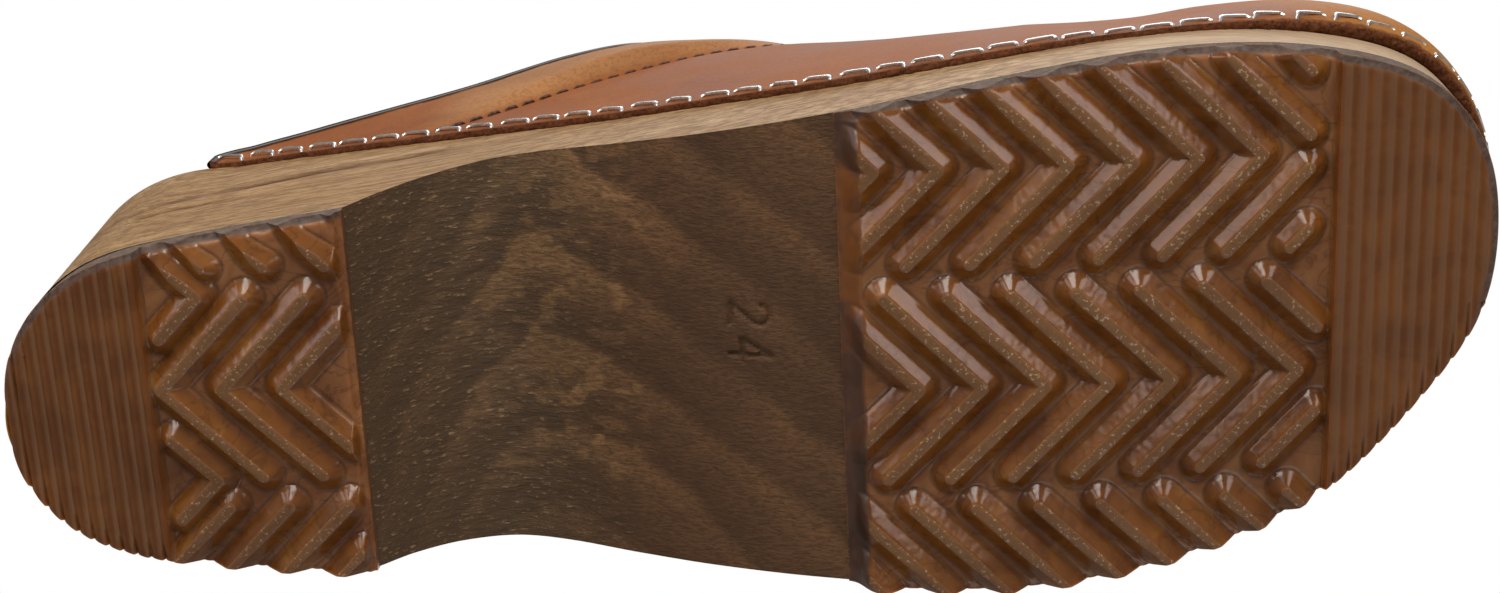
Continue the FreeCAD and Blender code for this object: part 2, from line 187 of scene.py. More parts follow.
def closed_curve(points):
    """A smooth closed curve through the points, as evenly spaced points along it."""
    p = np.array(points, float)
    n = len(p)
    chord = np.linalg.norm(np.roll(p, -1, axis=0) - p, axis=1)
    matrix, right = np.zeros((n, n)), np.zeros((n, 2))
    for i in range(n):
        before, after = chord[i - 1], chord[i]
        matrix[i, i - 1] += after
        matrix[i, i] += 2.0 * (before + after)
        matrix[i, (i + 1) % n] += before
        right[i] = 3.0 * (after * (p[i] - p[i - 1]) / before + before * (p[(i + 1) % n] - p[i]) / after)
    tangent = np.linalg.solve(matrix, right)
    t = np.linspace(0.0, 1.0, 120, endpoint=False)[:, None]
    slopes, next_slopes = chord[:, None] * tangent, chord[:, None] * np.roll(tangent, -1, axis=0)
    pieces = [hermite(t, *ends) for ends in zip(p, np.roll(p, -1, axis=0), slopes, next_slopes)]
    return resampled(np.vstack(pieces + [pieces[0][:1]]), OUTLINE_POINTS + 1)[:-1]


def outward(loop):
    """The level directions that point out of a closed loop at each of its points."""
    ahead = np.roll(loop, -1, axis=0) - np.roll(loop, 1, axis=0)
    return unit(np.stack([ahead[..., 1], -ahead[..., 0]], axis=-1))


BASE_OUTLINE = closed_curve(SOLE_OUTLINE)
OUTWARD = outward(BASE_OUTLINE)


def leant_back(plan, flare):
    """Plan points, pushed away from the heel's centre by flare where they lie behind it."""
    away = plan - np.array(HEEL_CENTRE)
    share = np.clip(-away[..., 0] / HEEL_ROUND, 0.0, 1.0) * flare
    return plan + unit(away) * share[..., None]


def outline(grown=0.0, flare=0.0):
    """The sole's outline, grown sideways, with its heel pushed back by flare."""
    return leant_back(BASE_OUTLINE, flare) + OUTWARD * grown


def halves(loop):
    """The inner and outer half of a closed outline, each from the heel's tip to the toe's."""
    ring = np.roll(loop, -np.argmin(loop[:, 0]), axis=0)
    toe = np.argmax(ring[:, 0])
    return ring[:toe + 1], np.vstack([ring[toe:], ring[:1]])[::-1]


def clipped(line, x0, x1):
    """The stretch of a half outline between x0 and x1."""
    x = np.maximum.accumulate(line[:, 0] + np.arange(len(line)) * 1e-9)
    keep = (x > x0) & (x < x1)
    ends = []
    for limit in (x0, x1):
        if x[0] < limit < x[-1]:
            ends.append(np.array([[limit, np.interp(limit, x, line[:, 1])]]))
        else:
            ends.append(line[:1] if limit <= x[0] else line[-1:])
    return np.vstack([ends[0], line[keep], ends[1]])


def ladder(loop, x0, x1, columns, rows):
    """A grid of points across the sole between x0 and x1: its shape is (columns, rows, 2)."""
    inner, outer = (resampled(clipped(half, x0, x1), columns) for half in halves(loop))
    return between(inner, outer, rows)


def spring(x):
    return TOE_SPRING_CURVE * np.clip(x - TOE_SPRING_START, 0.0, None) ** 2


def wood_underside(x):
    flat = np.where(x < HEEL_PAD_FRONT, PAD_THICKNESS, arch_at(x))
    lift = smooth(22.0, 40.0, x) * (PAD_THICKNESS - ARCH[-1][1])
    return flat + lift + spring(x)


# ---- mesh building
class Patchwork:
    """Collects grids of points and faces, with a few painted values, into one mesh."""

    def __init__(self):
        self.points, self.faces, self.slots, self.paint, self.count = [], [], [], {}, 0

    def grid(self, points, flip=False, closed=False, finish=0, **paint):
        """points has the shape (a, b, 3); closed joins the last row of a to the first."""
        a, b = points.shape[:2]
        index = np.arange(a * b).reshape(a, b) + self.count
        if closed:
            index = np.vstack([index, index[:1]])
        corners = (index[:-1, :-1], index[1:, :-1], index[1:, 1:], index[:-1, 1:])
        quads = np.stack(corners, axis=-1).reshape(-1, 4)
        self.faces.append(quads[:, ::-1] if flip else quads)
        self.slots.append(np.full(len(quads), finish))
        self.points.append(points.reshape(-1, 3))
        for name, value in paint.items():
            column = np.broadcast_to(np.asarray(value, float), (a, b)).reshape(-1)
            self.paint.setdefault(name, []).append((self.count, column))
        self.count += a * b

    def make(self, name, *materials, merge=0.004, sharp=38.0):
        points = np.vstack(self.points)
        mesh = bpy.data.meshes.new(name)
        faces = np.vstack(self.faces)
        mesh.vertices.add(len(points))
        mesh.vertices.foreach_set("co", (points * MM).astype(np.float32).ravel())
        mesh.loops.add(faces.size)
        mesh.loops.foreach_set("vertex_index", faces.astype(np.int32).ravel())
        mesh.polygons.add(len(faces))
        mesh.polygons.foreach_set("loop_start", (np.arange(len(faces)) * 4).astype(np.int32))
        mesh.polygons.foreach_set("material_index", np.concatenate(self.slots).astype(np.int32))
        mesh.update(calc_edges=True)
        for key, pieces in self.paint.items():
            values = np.zeros(len(points), np.float32)
            for start, column in pieces:
                values[start:start + len(column)] = column
            mesh.attributes.new(key, "FLOAT", "POINT").data.foreach_set("value", values)
        obj = placed(name, mesh)
        weld(obj, merge * MM)
        mesh.validate()
        mesh.polygons.foreach_set("use_smooth", [True] * len(mesh.polygons))
        mesh.set_sharp_from_angle(angle=math.radians(sharp))
        for material in materials:
            mesh.materials.append(material)
        return obj


def placed(name, data):
    """A new object in the scene."""
    obj = bpy.data.objects.new(name, data)
    bpy.context.scene.collection.objects.link(obj)
    return obj


def weld(obj, distance):
    """Joins points that lie together, so that patches share their borders."""
    work = bmesh.new()
    work.from_mesh(obj.data)
    bmesh.ops.remove_doubles(work, verts=work.verts, dist=distance)
    bmesh.ops.dissolve_degenerate(work, edges=work.edges, dist=1e-8)
    bmesh.ops.recalc_face_normals(work, faces=work.faces)
    work.to_mesh(obj.data)
    work.free()


def xyz(plan, z):
    return np.concatenate([plan, np.broadcast_to(z, plan.shape[:-1])[..., None]], axis=-1)


def piece(obj, node):
    """Every piece rides on the clog's one body and stands in for its CAD node, which is hidden."""
    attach(obj, "root")
    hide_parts(node)


# ---- materials
class Nodes:
    """A short way to write a material's nodes."""

    def __init__(self, name):
        self.material = bpy.data.materials.new(name)
        self.material.use_nodes = True
        self.tree = self.material.node_tree
        self.shader = self.tree.nodes["Principled BSDF"]
        self.place = self.tree.nodes.new("ShaderNodeTexCoord").outputs["Object"]
        self.colour = None

    def put(self, socket, value):
        if isinstance(value, bpy.types.NodeSocket):
            self.tree.links.new(value, socket)
        elif socket.type == "RGBA":
            socket.default_value = (*value, 1.0)
        else:
            socket.default_value = value

    def node(self, kind, output=0, inputs=None, **settings):
        n = self.tree.nodes.new("ShaderNode" + kind)
        for key, value in settings.items():
            setattr(n, key, value)
        for key, value in (inputs or {}).items():
            self.put(n.inputs[key], value)
        return n.outputs[output]

    def scaled(self, scale, turn=(0.0, 0.0, 0.0), source=None):
        """Object coordinates times scale; 1000 is one unit a millimetre."""
        if isinstance(scale, (int, float)):
            scale = (scale,) * 3
        source = self.place if source is None else source
        return self.node("Mapping", inputs={"Vector": source, "Scale": scale, "Rotation": turn})

    def noise(self, scale, detail=4.0, rough=0.55, distort=0.0, source=None, turn=(0.0, 0.0, 0.0)):
        return self.node("TexNoise", inputs={
            "Vector": self.scaled(scale, turn, source), "Scale": 1.0, "Detail": detail,
            "Roughness": rough, "Distortion": distort})

    def ramp(self, value, *stops):
        n = self.tree.nodes.new("ShaderNodeValToRGB")
        n.color_ramp.interpolation = "EASE"
        while len(n.color_ramp.elements) < len(stops):
            n.color_ramp.elements.new(0.5)
        for element, (position, colour) in zip(n.color_ramp.elements, stops):
            element.position = position
            if isinstance(colour, (int, float)):
                colour = (colour,) * 3
            element.color = (*colour, 1.0)
        self.put(n.inputs["Fac"], value)
        return n.outputs["Color"]

    def mix(self, factor, a, b):
        """The mix of two colours; sockets 6 and 7 are the node's colours and output 2 is their mix."""
        return self.node("Mix", 2, data_type="RGBA", inputs={0: factor, 6: a, 7: b})

    def math(self, kind, a, b=0.0, clamp=False):
        return self.node("Math", operation=kind, use_clamp=clamp, inputs={0: a, 1: b})

    def times(self, a, b):
        return self.math("MULTIPLY", a, b)

    def total(self, base, *shares, clamp=False):
        """The base plus the sum of each value times its share."""
        for value, share in shares:
            base = self.math("ADD", self.times(value, share), base, clamp)
        return base

    def painted(self, name):
        return self.node("Attribute", "Fac", attribute_name=name)

    def bump(self, height, strength, distance, under=None):
        inputs = {"Height": height, "Strength": strength, "Distance": distance * MM}
        if under is not None:
            inputs["Normal"] = under
        return self.node("Bump", inputs=inputs)

    def lay(self, share, tint):
        """Lays a tint over the material's colour by a share."""
        self.colour = self.mix(share, self.colour, tint)

    def finish(self, **sockets):
        self.put(self.shader.inputs["Base Color"], self.colour)
        for key, value in sockets.items():
            self.put(self.shader.inputs[key.replace("_", " ")], value)
        return self.material


def wood_material():
    """Bare alder: pale tan, with fine fibres and pores along the clog and a few darker growth lines; the
    inner side is painted paler towards the toe, as painted light.
    """
    n = Nodes("bare_wood")
    drift = n.node("TexNoise", "Color", inputs={"Vector": n.scaled((7, 30, 22)), "Scale": 1, "Detail": 2})
    drift = n.node("VectorMath", operation="SCALE", inputs={0: drift, "Scale": 0.018})
    bent = n.node("VectorMath", operation="ADD", inputs={0: n.place, 1: drift})
    rings = n.noise((3, 160, 330), 3, 0.5, source=bent)
    fibre = n.noise((70, 1300, 1300), 5, 0.62, source=bent)
    pores = n.noise((260, 3200, 3200), 2, 0.6)
    patch = n.noise((22, 45, 45), 4, 0.55)
    n.colour = n.ramp(rings, (0.32, (0.36, 0.21, 0.09)), (0.5, (0.44, 0.27, 0.124)),
                      (0.7, (0.52, 0.345, 0.178)))
    streak = n.noise((11, 240, 300), 2, 0.4, source=bent)
    n.lay(n.ramp(patch, (0.35, 0.35), (0.6, 0)), (0.3, 0.18, 0.085))
    n.lay(n.ramp(fibre, (0.4, 0.75), (0.58, 0)), (0.205, 0.11, 0.046))
    n.lay(n.ramp(pores, (0.53, 0), (0.66, 0.65)), (0.13, 0.066, 0.03))
    n.lay(n.ramp(streak, (0.68, 0), (0.76, 0.65)), (0.15, 0.06, 0.028))
    # Painted light: the inner side laid paler towards the toe, where the lamps fall on it.
    n.lay(n.painted("pale"), (0.66, 0.5, 0.34))
    n.lay(n.painted("check"), (0.09, 0.036, 0.016))
    rough = n.ramp(fibre, (0.3, 0.66), (0.7, 0.52))
    grain = n.bump(pores, 0.3, 0.1, n.bump(fibre, 0.25, 0.22))
    return n.finish(Roughness=rough, Normal=grain, Specular_IOR_Level=0.35)


def stained_wood_material():
    """The rough sawn arch, stained dark: nested grain arches, fuzzy fibres and paler chips."""
    n = Nodes("stained_wood")
    figure, rough_share = n.painted("figure"), n.painted("rough_share")
    cloud = n.noise((30, 26, 30), 5, 0.6, 0.3)
    fine = n.noise((620, 1900, 900), 4, 0.65, 0.4, turn=(0, 0, 0.7))
    fuzz = n.noise((480, 1700, 600), 4, 0.7, turn=(0, 0, -0.16))
    n.colour = n.ramp(figure, (0, (0.09, 0.04, 0.017)), (0.3, (0.168, 0.079, 0.033)),
                      (0.6, (0.285, 0.137, 0.056)), (1, (0.55, 0.284, 0.117)))
    n.lay(n.ramp(cloud, (0.38, 0.45), (0.62, 0)), (0.07, 0.036, 0.018))
    n.lay(n.ramp(fine, (0.38, 0.55), (0.6, 0)), (0.06, 0.028, 0.013))
    n.lay(n.times(rough_share, 0.6), (0.11, 0.072, 0.038))
    fleck = n.ramp(fuzz, (0.58, 0), (0.66, 1))
    n.lay(n.times(fleck, n.total(-0.06, (rough_share, 0.9))), (0.42, 0.26, 0.125))
    grain = n.bump(fuzz, n.total(0.15, (rough_share, 0.8)), 0.6)
    grain = n.bump(fine, 0.7, 0.4, grain)
    return n.finish(Roughness=0.62, Normal=grain, Specular_IOR_Level=0.3)


def rubber_material():
    n = Nodes("crepe_rubber")
    tread, sanded, ribline, ribs, skived, crease = (
        n.painted(name) for name in ("tread", "sanded", "ribline", "ribs", "skived", "crease"))
    cloud = n.noise(110, 4, 0.6, 0.8)
    broad = n.noise(28, 3, 0.55)
    slope = n.ramp(cloud, (0.3, (0.17, 0.054, 0.008)), (0.55, (0.245, 0.087, 0.014)),
                   (0.75, (0.33, 0.134, 0.024)))
    # Painted light: the floor between the lugs is coloured paler than the lug sides, to lift the shade in the
    # hollows.
    floor = n.ramp(cloud, (0.3, (0.24, 0.086, 0.026)), (0.7, (0.43, 0.19, 0.072)))
    n.colour = n.mix(n.ramp(tread, (0, 0), (0.25, 1)), floor, slope)
    flow = n.math("ABSOLUTE", n.math("SUBTRACT", n.noise((105, 150, 90), 3, 0.5, 1.2), 0.5))
    n.lay(n.ramp(flow, (0, 0.34), (0.03, 0)), (0.055, 0.015, 0.005))
    # Painted shade: darker at the foot of each lug and across each rib.
    n.lay(n.times(crease, 0.38), (0.05, 0.014, 0.004))
    sparkle = n.ramp(n.noise(1500, 2, 0.7), (0.59, 0), (0.66, 1))
    crest = n.mix(n.noise(900, 3, 0.7), (0.19, 0.084, 0.028), (0.33, 0.165, 0.066))
    crest = n.mix(n.times(sparkle, 0.5), crest, (0.85, 0.68, 0.48))
    worn = n.ramp(tread, (0.9, 0), (0.97, 1))
    n.lay(worn, crest)
    rib = n.ramp(cloud, (0.3, (0.18, 0.056, 0.009)), (0.7, (0.27, 0.097, 0.018)))
    # Painted shade across each rib.
    rib = n.mix(n.times(crease, 0.5), rib, (0.1, 0.028, 0.004))
    n.lay(ribs, rib)
    # Painted highlight: a paler line on each toe rib where its slope faces the light; on the heel ribs, a
    # paler line along each crest.
    n.lay(n.times(ribline, 0.72), (0.245, 0.126, 0.062))
    grey = n.ramp(n.noise(700, 4, 0.7), (0.3, (0.085, 0.058, 0.045)), (0.7, (0.165, 0.122, 0.1)))
    n.lay(sanded, grey)
    edge = n.noise((60, 45, 60), 4, 0.6)
    band = n.ramp(edge, (0.4, (0.05, 0.022, 0.011)), (0.54, (0.105, 0.05, 0.03)), (0.64, (0.24, 0.085, 0.02)))
    n.lay(skived, band)
    n.lay(n.ramp(broad, (0.35, 0.3), (0.6, 0)), (0.08, 0.026, 0.008))
    rough = n.total(0.17, (worn, 0.24), (sanded, 0.75), (ribs, 0.15), (skived, 0.2), clamp=True)
    height = n.bump(n.noise(1300, 4, 0.7), n.total(0, (worn, 0.6), (sanded, 0.6)), 0.16)
    height = n.bump(n.noise(240, 3, 0.5), 0.1, 0.3, height)
    return n.finish(Roughness=rough, Normal=height, Specular_IOR_Level=0.5,
                    Subsurface_Weight=0.5, Subsurface_Radius=(1, 0.42, 0.14), Subsurface_Scale=0.0034)


def leather_material():
    n = Nodes("oiled_leather")
    raw, toe = n.painted("raw"), n.painted("toe")
    cloud = n.noise((45, 60, 60), 5, 0.6, 0.4)
    tan = n.ramp(cloud, (0.3, (0.238, 0.07, 0.018)), (0.52, (0.302, 0.095, 0.024)),
                 (0.75, (0.367, 0.13, 0.037)))
    pale = n.ramp(cloud, (0.3, (0.48, 0.2, 0.044)), (0.7, (0.58, 0.272, 0.068)))
    worn = n.ramp(cloud, (0.3, (0.37, 0.166, 0.062)), (0.7, (0.47, 0.225, 0.088)))
    n.colour = n.mix(n.painted("collar"), n.mix(toe, tan, pale), worn)
    speck = n.noise(1300, 3, 0.7)
    n.lay(n.ramp(speck, (0.35, 0.35), (0.55, 0)), (0.17, 0.055, 0.024))
    fibre = n.noise(1500, 5, 0.8)
    cut = n.ramp(fibre, (0.35, (0.06, 0.022, 0.011)), (0.6, (0.18, 0.064, 0.027)), (0.75, (0.3, 0.13, 0.055)))
    n.lay(raw, cut)
    n.lay(n.painted("burnish"), (0.022, 0.012, 0.009))
    n.lay(n.times(n.painted("shine"), 0.8), (0.36, 0.33, 0.3))
    pebbles = n.node("TexVoronoi", "Distance", inputs={"Vector": n.scaled(1150), "Scale": 1})
    grain = n.bump(pebbles, 0.18, 0.12)
    grain = n.bump(n.noise(300, 5, 0.6), 0.15, 0.3, grain)
    rough = n.total(n.ramp(cloud, (0.3, 0.52), (0.7, 0.62)), (raw, 0.35), clamp=True)
    return n.finish(Roughness=rough, Normal=grain, Specular_IOR_Level=0.12)


def lining_material():
    n = Nodes("lining_leather")
    fibre = n.noise(1400, 5, 0.8)
    n.colour = n.ramp(fibre, (0.3, (0.022, 0.016, 0.012)), (0.7, (0.075, 0.055, 0.042)))
    return n.finish(Roughness=0.85, Normal=n.bump(fibre, 0.6, 0.2))


def steel_material():
    n = Nodes("staple_steel")
    streak = n.noise((300, 300, 1800), 4, 0.6)
    n.colour = n.ramp(streak, (0.3, (0.68, 0.68, 0.67)), (0.7, (0.92, 0.92, 0.9)))
    rough = n.ramp(streak, (0.3, 0.2), (0.7, 0.38))
    return n.finish(Roughness=rough, Metallic=1, Normal=n.bump(streak, 0.1, 0.05))


def thread_material():
    n = Nodes("brown_thread")
    twist = n.noise((900, 2600, 2600), 3, 0.6)
    n.colour = n.ramp(twist, (0.3, (0.06, 0.02, 0.01)), (0.7, (0.15, 0.056, 0.027)))
    return n.finish(Roughness=0.6, Normal=n.bump(twist, 0.5, 0.15))


# ---- wooden sole
FIGURE_X = -36.0
FIGURE_PITCH = 17.5
STAMP_DEPTH = 0.55
SOLE_COLUMNS = 560            # points along each half of the sole
RIM_ROLL = (1.6, 1.4)         # how far the footbed's rim rounds over, sideways and up
FOOTBED_CUP = 3.2             # depth of the footbed
HEEL_CUP = 1.8                # and how much deeper it is under the heel
# Drying checks: height, slope, where they start and end along x, half width, seed.
CHECKS = [(30.5, 0.06, -129.0, -48.0, 1.15, 2.0), (24.5, 0.05, -116.0, -82.0, 0.5, 4.0),
          (35.5, -0.03, -70.0, -40.0, 0.3, 6.0)]


def grain_figure(face):
    """The flat-sawn grain: arches one inside the other, steep behind their crown and slanting ahead of it."""
    x, y = face[..., 0], face[..., 1]
    drift = noise(face, (26.0, 26.0, 40.0), 11.0) * 5.0 + noise(face, (7.0, 7.0, 20.0), 13.0) * 1.6
    dx = x - FIGURE_X + noise(face, 20.0, 15.0) * 3.0
    steep = np.where(dx < 0.0, 2.1, 0.85)
    level = (y + drift - steep * (np.sqrt(dx * dx + 60.0) - 7.7)) / FIGURE_PITCH
    phase = level - np.floor(level)
    band = smooth(0.0, 0.16, phase) * fade(0.2, 0.95, phase)
    crown = np.exp(-(np.abs(dx - 2.0) / 15.0) ** 2) * np.exp(-(np.maximum(0.0, y - 12.0) / 22.0) ** 2)
    tufts = smooth(0.0, 0.55, noise(face, (2.6, 1.5, 3.0), 17.0) + 0.1) * crown
    front = smooth(-10.0, 10.0, x) * 0.05
    return np.clip(0.13 + band * (0.28 + 0.6 * crown) + tufts * 0.7 + front, 0.0, 1.0)


def stamp(x, y):
    """The length in centimetres, 24, pressed into the arch, its tops to the toe: depth from 0 to 1."""
    def digit(lines, across, up):
        return np.min([from_segment(y - across, x - up, a, b) for a, b in zip(lines, lines[1:])], axis=0)

    bow = [(2.0 - 1.8 * math.cos(a), 5.2 + 1.8 * math.sin(a)) for a in np.linspace(0.25, math.pi + 0.5, 9)]
    two = digit(bow + [(0.3, 0.3), (4.0, 0.3)], -4.2, -1.6)
    four = digit([(3.1, 0.0), (3.1, 7.0), (0.2, 2.1), (4.3, 2.1)], 2.2, -1.6)
    return fade(0.25, 0.62, np.minimum(two, four))


def sole_wall(low_of, high_of, count):
    """The wood's side between two heights that follow x, leaning out behind the heel."""
    inner, outer = (resampled(half, SOLE_COLUMNS) for half in halves(outline()))
    closed = np.vstack([inner, outer[::-1][1:-1]])
    z = between(low_of(closed[:, 0]), high_of(closed[:, 0]), count)
    return xyz(leant_back(np.stack([closed] * count, axis=1), HEEL_FLARE * z / FLARE_HEIGHT), z)


def drying_check(side):
    """Dark checks along the grain of the heel's inner side: their share of the colour. It dents side too."""
    x, z = side[..., 0], side[..., 2]
    check = np.zeros(x.shape)
    for level, slant, start, end, width, seed in CHECKS:
        drift = noise(side, (14.0, 14.0, 300.0), seed) * 1.1
        off = z - (level + slant * (x + 100.0) + drift)
        run = smooth(start, start + 12.0, x) * fade(end - 18.0, end, x)
        check = np.maximum(check, np.exp(-(off / width) ** 2) * run)
    broken = smooth(-0.9, -0.1, noise(side, (7.0, 7.0, 2.0), 8.0))
    check = np.clip(check * 1.3, 0.0, 1.0) * broken * (side[..., 1] < 20.0)
    side[..., 1] += check * 0.5
    return check


def build_sole(material, stained):
    work = Patchwork()
    rows = 190
    under = ladder(outline(), -WIDE, WIDE, SOLE_COLUMNS, rows)
    x, y = under[..., 0], under[..., 1]
    face = xyz(under, wood_underside(x))
    bare = smooth(HEEL_PAD_FRONT - 0.5, HEEL_PAD_FRONT + 3.0, x) * fade(15.0, 18.0, x)
    fuzzy = fade(-50.0, -14.0, x + noise(face, 16.0, 5.0) * 9.0) * 0.85 + 0.15
    chips = noise(face, (1.9, 0.55, 2.0), 3.0) * 0.13 + noise(face, (4.2, 1.3, 4.0), 5.0) * 0.1
    chips = np.clip(chips, -0.04, 0.3) * fuzzy + noise(face, (1.3, 0.8, 1.0), 9.0) * 0.025
    inside = np.minimum(1.0, np.minimum(np.arange(rows), np.arange(rows)[::-1]) / 3.0)[None, :]
    z = face[..., 2] - chips * bare * inside + stamp(x, y) * STAMP_DEPTH
    work.grid(xyz(under, z), flip=True, finish=1, figure=grain_figure(face), rough_share=fuzzy)

    side = sole_wall(wood_underside, ledge_at, 60)
    check = drying_check(side)
    # Painted light: how much paler the inner side is laid towards the toe.
    pale = 0.6 * smooth(30.0, 115.0, side[..., 0]) * fade(0.0, 36.0, side[..., 1])
    work.grid(side, closed=True, check=check, pale=pale)
    recess = sole_wall(ledge_at, lambda v: rim_at(v) - RIM_ROLL[1], 10)
    normal = outward(recess)
    inset = smooth(VAMP_TIP - 3.0, VAMP_TIP + 1.0, recess[..., :1]) * RABBET
    stepped = recess.copy()
    stepped[..., :2] -= normal * inset
    work.grid(np.concatenate([side[:, -1:], stepped[:, :1]], axis=1), closed=True)
    work.grid(stepped, closed=True)

    edge, direction = stepped[:, -1], normal[:, -1]
    roll = np.stack([xyz(edge[:, :2] - direction * (RIM_ROLL[0] * (1.0 - math.cos(turn))),
                         edge[:, 2] + RIM_ROLL[1] * math.sin(turn))
                     for turn in np.linspace(0.0, math.pi / 2.0, 7)], axis=1)
    work.grid(roll, closed=True)

    last, n = roll[:, -1], SOLE_COLUMNS
    inner, outer = last[:n], np.vstack([last[:1], last[n:][::-1], last[n - 1:n]])
    bed = between(inner, outer, 120)
    t = np.linspace(0.0, 1.0, 120)[None, :]
    d = np.minimum(t, 1.0 - t) * np.linalg.norm(outer - inner, axis=1)[:, None]
    tip = np.minimum(bed[..., 0] - bed[0, 0, 0], bed[-1, 0, 0] - bed[..., 0])
    d = np.minimum(d, np.clip(tip, 0.0, None) * 1.6)
    cup = FOOTBED_CUP + HEEL_CUP * fade(-90.0, -40.0, bed[..., 0])
    bed[..., 2] -= smooth(0.5, 17.0, d) * cup
    work.grid(bed)
    piece(work.make("wooden_sole_body", material, stained), "wooden_sole")


# ---- rubber pads
CHEVRON_PITCH = 10.5
CHEVRON_ROW_PITCH = 37.9
CHEVRON_REACH = 16.1
CREST_HALF = 0.85
FOOT_HALF = 3.2
FOOT_SOFT, CREST_SOFT = 0.07, 0.05     # how softly a lug's side meets its floor and its crest
RIB_RELIEF = 0.35             # of the tread's height
TOE_RIBS_START = 98.3
HEEL_RIBS_END = -99.8
RIB_PITCH = 2.45


def chevron(apex, direction, back, front):
    """The two arms of a chevron as line pieces, cut to the stretch from back to front."""
    arms = []
    for side in (-1, 1):
        x0, x1 = sorted((apex[0], apex[0] - direction * CHEVRON_REACH))
        low, high = max(x0, back), min(x1, front)
        if high - low > 1.0:
            arms.append([(x, apex[1] + side * abs(x - apex[0])) for x in (low, high)])
    return arms


def forefoot_bars():
    bars = []
    for row, lead in ((-1, 3.7), (0, 0.0), (1, 4.3)):
        for k in range(-1, 9):
            apex = (30.5 + lead + k * CHEVRON_PITCH, 9.2 + row * CHEVRON_ROW_PITCH)
            bars += chevron(apex, 1, TREADS_FROM, TOE_RIBS_START - (3.9 if row < 0 else 1.8))
    return bars


def heel_bars():
    bars = []
    for row, lead in ((-1, -6.5), (0, 0.0), (1, -6.5)):
        for k in range(5):
            apex = (HEEL_RIBS_END + 1.2 + lead + k * CHEVRON_PITCH, 6.9 + row * CHEVRON_ROW_PITCH)
            bars += chevron(apex, -1, HEEL_RIBS_END + 0.4, HEEL_PAD_FRONT - 1.6)
    for row in (-1, 1):
        apex = (HEEL_RIBS_END + 9.4, 6.9 + row * 16.7)
        bars += chevron(apex, 1, HEEL_RIBS_END + 2.0, HEEL_PAD_FRONT)
    return bars


def tread_share(x, y, bars, rib_from, rib_sign, taper, relief):
    """How high the tread stands at each point, 0 on its floor and 1 on its crest; the bars' share of it, the
    ribs' pale lines, which on the toe are a painted highlight, the ribbed band, the crease round each bar
    with its painted shade, and the painted shade across each rib. Bars are thinner by taper, in mm, and
    relief is the depth of the ribs' grooves as a share of the tread's height."""
    near = np.full(x.shape, WIDE)
    for a, b in bars:
        near = np.minimum(near, from_segment(x, y, a, b))
    slope = (FOOT_HALF - near - taper) / (FOOT_HALF - CREST_HALF)
    bar = (slope + np.hypot(slope, FOOT_SOFT)) / 2.0
    bar = np.clip(1.0 - ((1.0 - bar) + np.hypot(1.0 - bar, CREST_SOFT)) / 2.0, 0.0, 1.0)
    # Painted shade: a dark line round the foot of each bar, which also dents the tread.
    crease = np.exp(-((near + taper - FOOT_HALF - 0.15) / 0.32) ** 2)
    past = (x - rib_from) * rib_sign
    phase = (past / RIB_PITCH + 0.21) % 1.0
    # Painted shade across each rib; the paler line along each rib is, on the toe, a painted highlight where
    # the slope faces the light.
    if rib_sign < 0:
        line = fade(0.1, 0.17, np.abs(phase - 0.21))
        rib_shade = 0.8 * np.exp(-((phase - 0.55) / 0.12) ** 2)
    else:
        line = smooth(0.6, 1.0, phase) + fade(0.18, 0.32, phase)
        rib_shade = 0.5 * np.exp(-((phase - 0.48) / 0.12) ** 2)
    fall = np.clip((phase - 0.2) / 0.8, 0.0, 1.0)
    rib = 1.0 - relief * (1.0 - smooth(0.0, 0.2, phase) * np.sqrt(1.0 - fall * fall))
    band = smooth(0.0, 0.9, past)
    line = np.where(past > 0.0, line, 0.0)
    share = bar * (1.0 - band) + rib * band
    return share, bar * (1.0 - band), line, band, crease * (1.0 - band), rib_shade * band


def edge_distance(points, loop):
    """Distance of plan points from a closed outline."""
    tree = KDTree(len(loop))
    for i, (x, y) in enumerate(loop):
        tree.insert((x, y, 0.0), i)
    tree.balance()
    return np.array([tree.find((x, y, 0.0))[2] for x, y in points.reshape(-1, 2)]).reshape(points.shape[:-1])


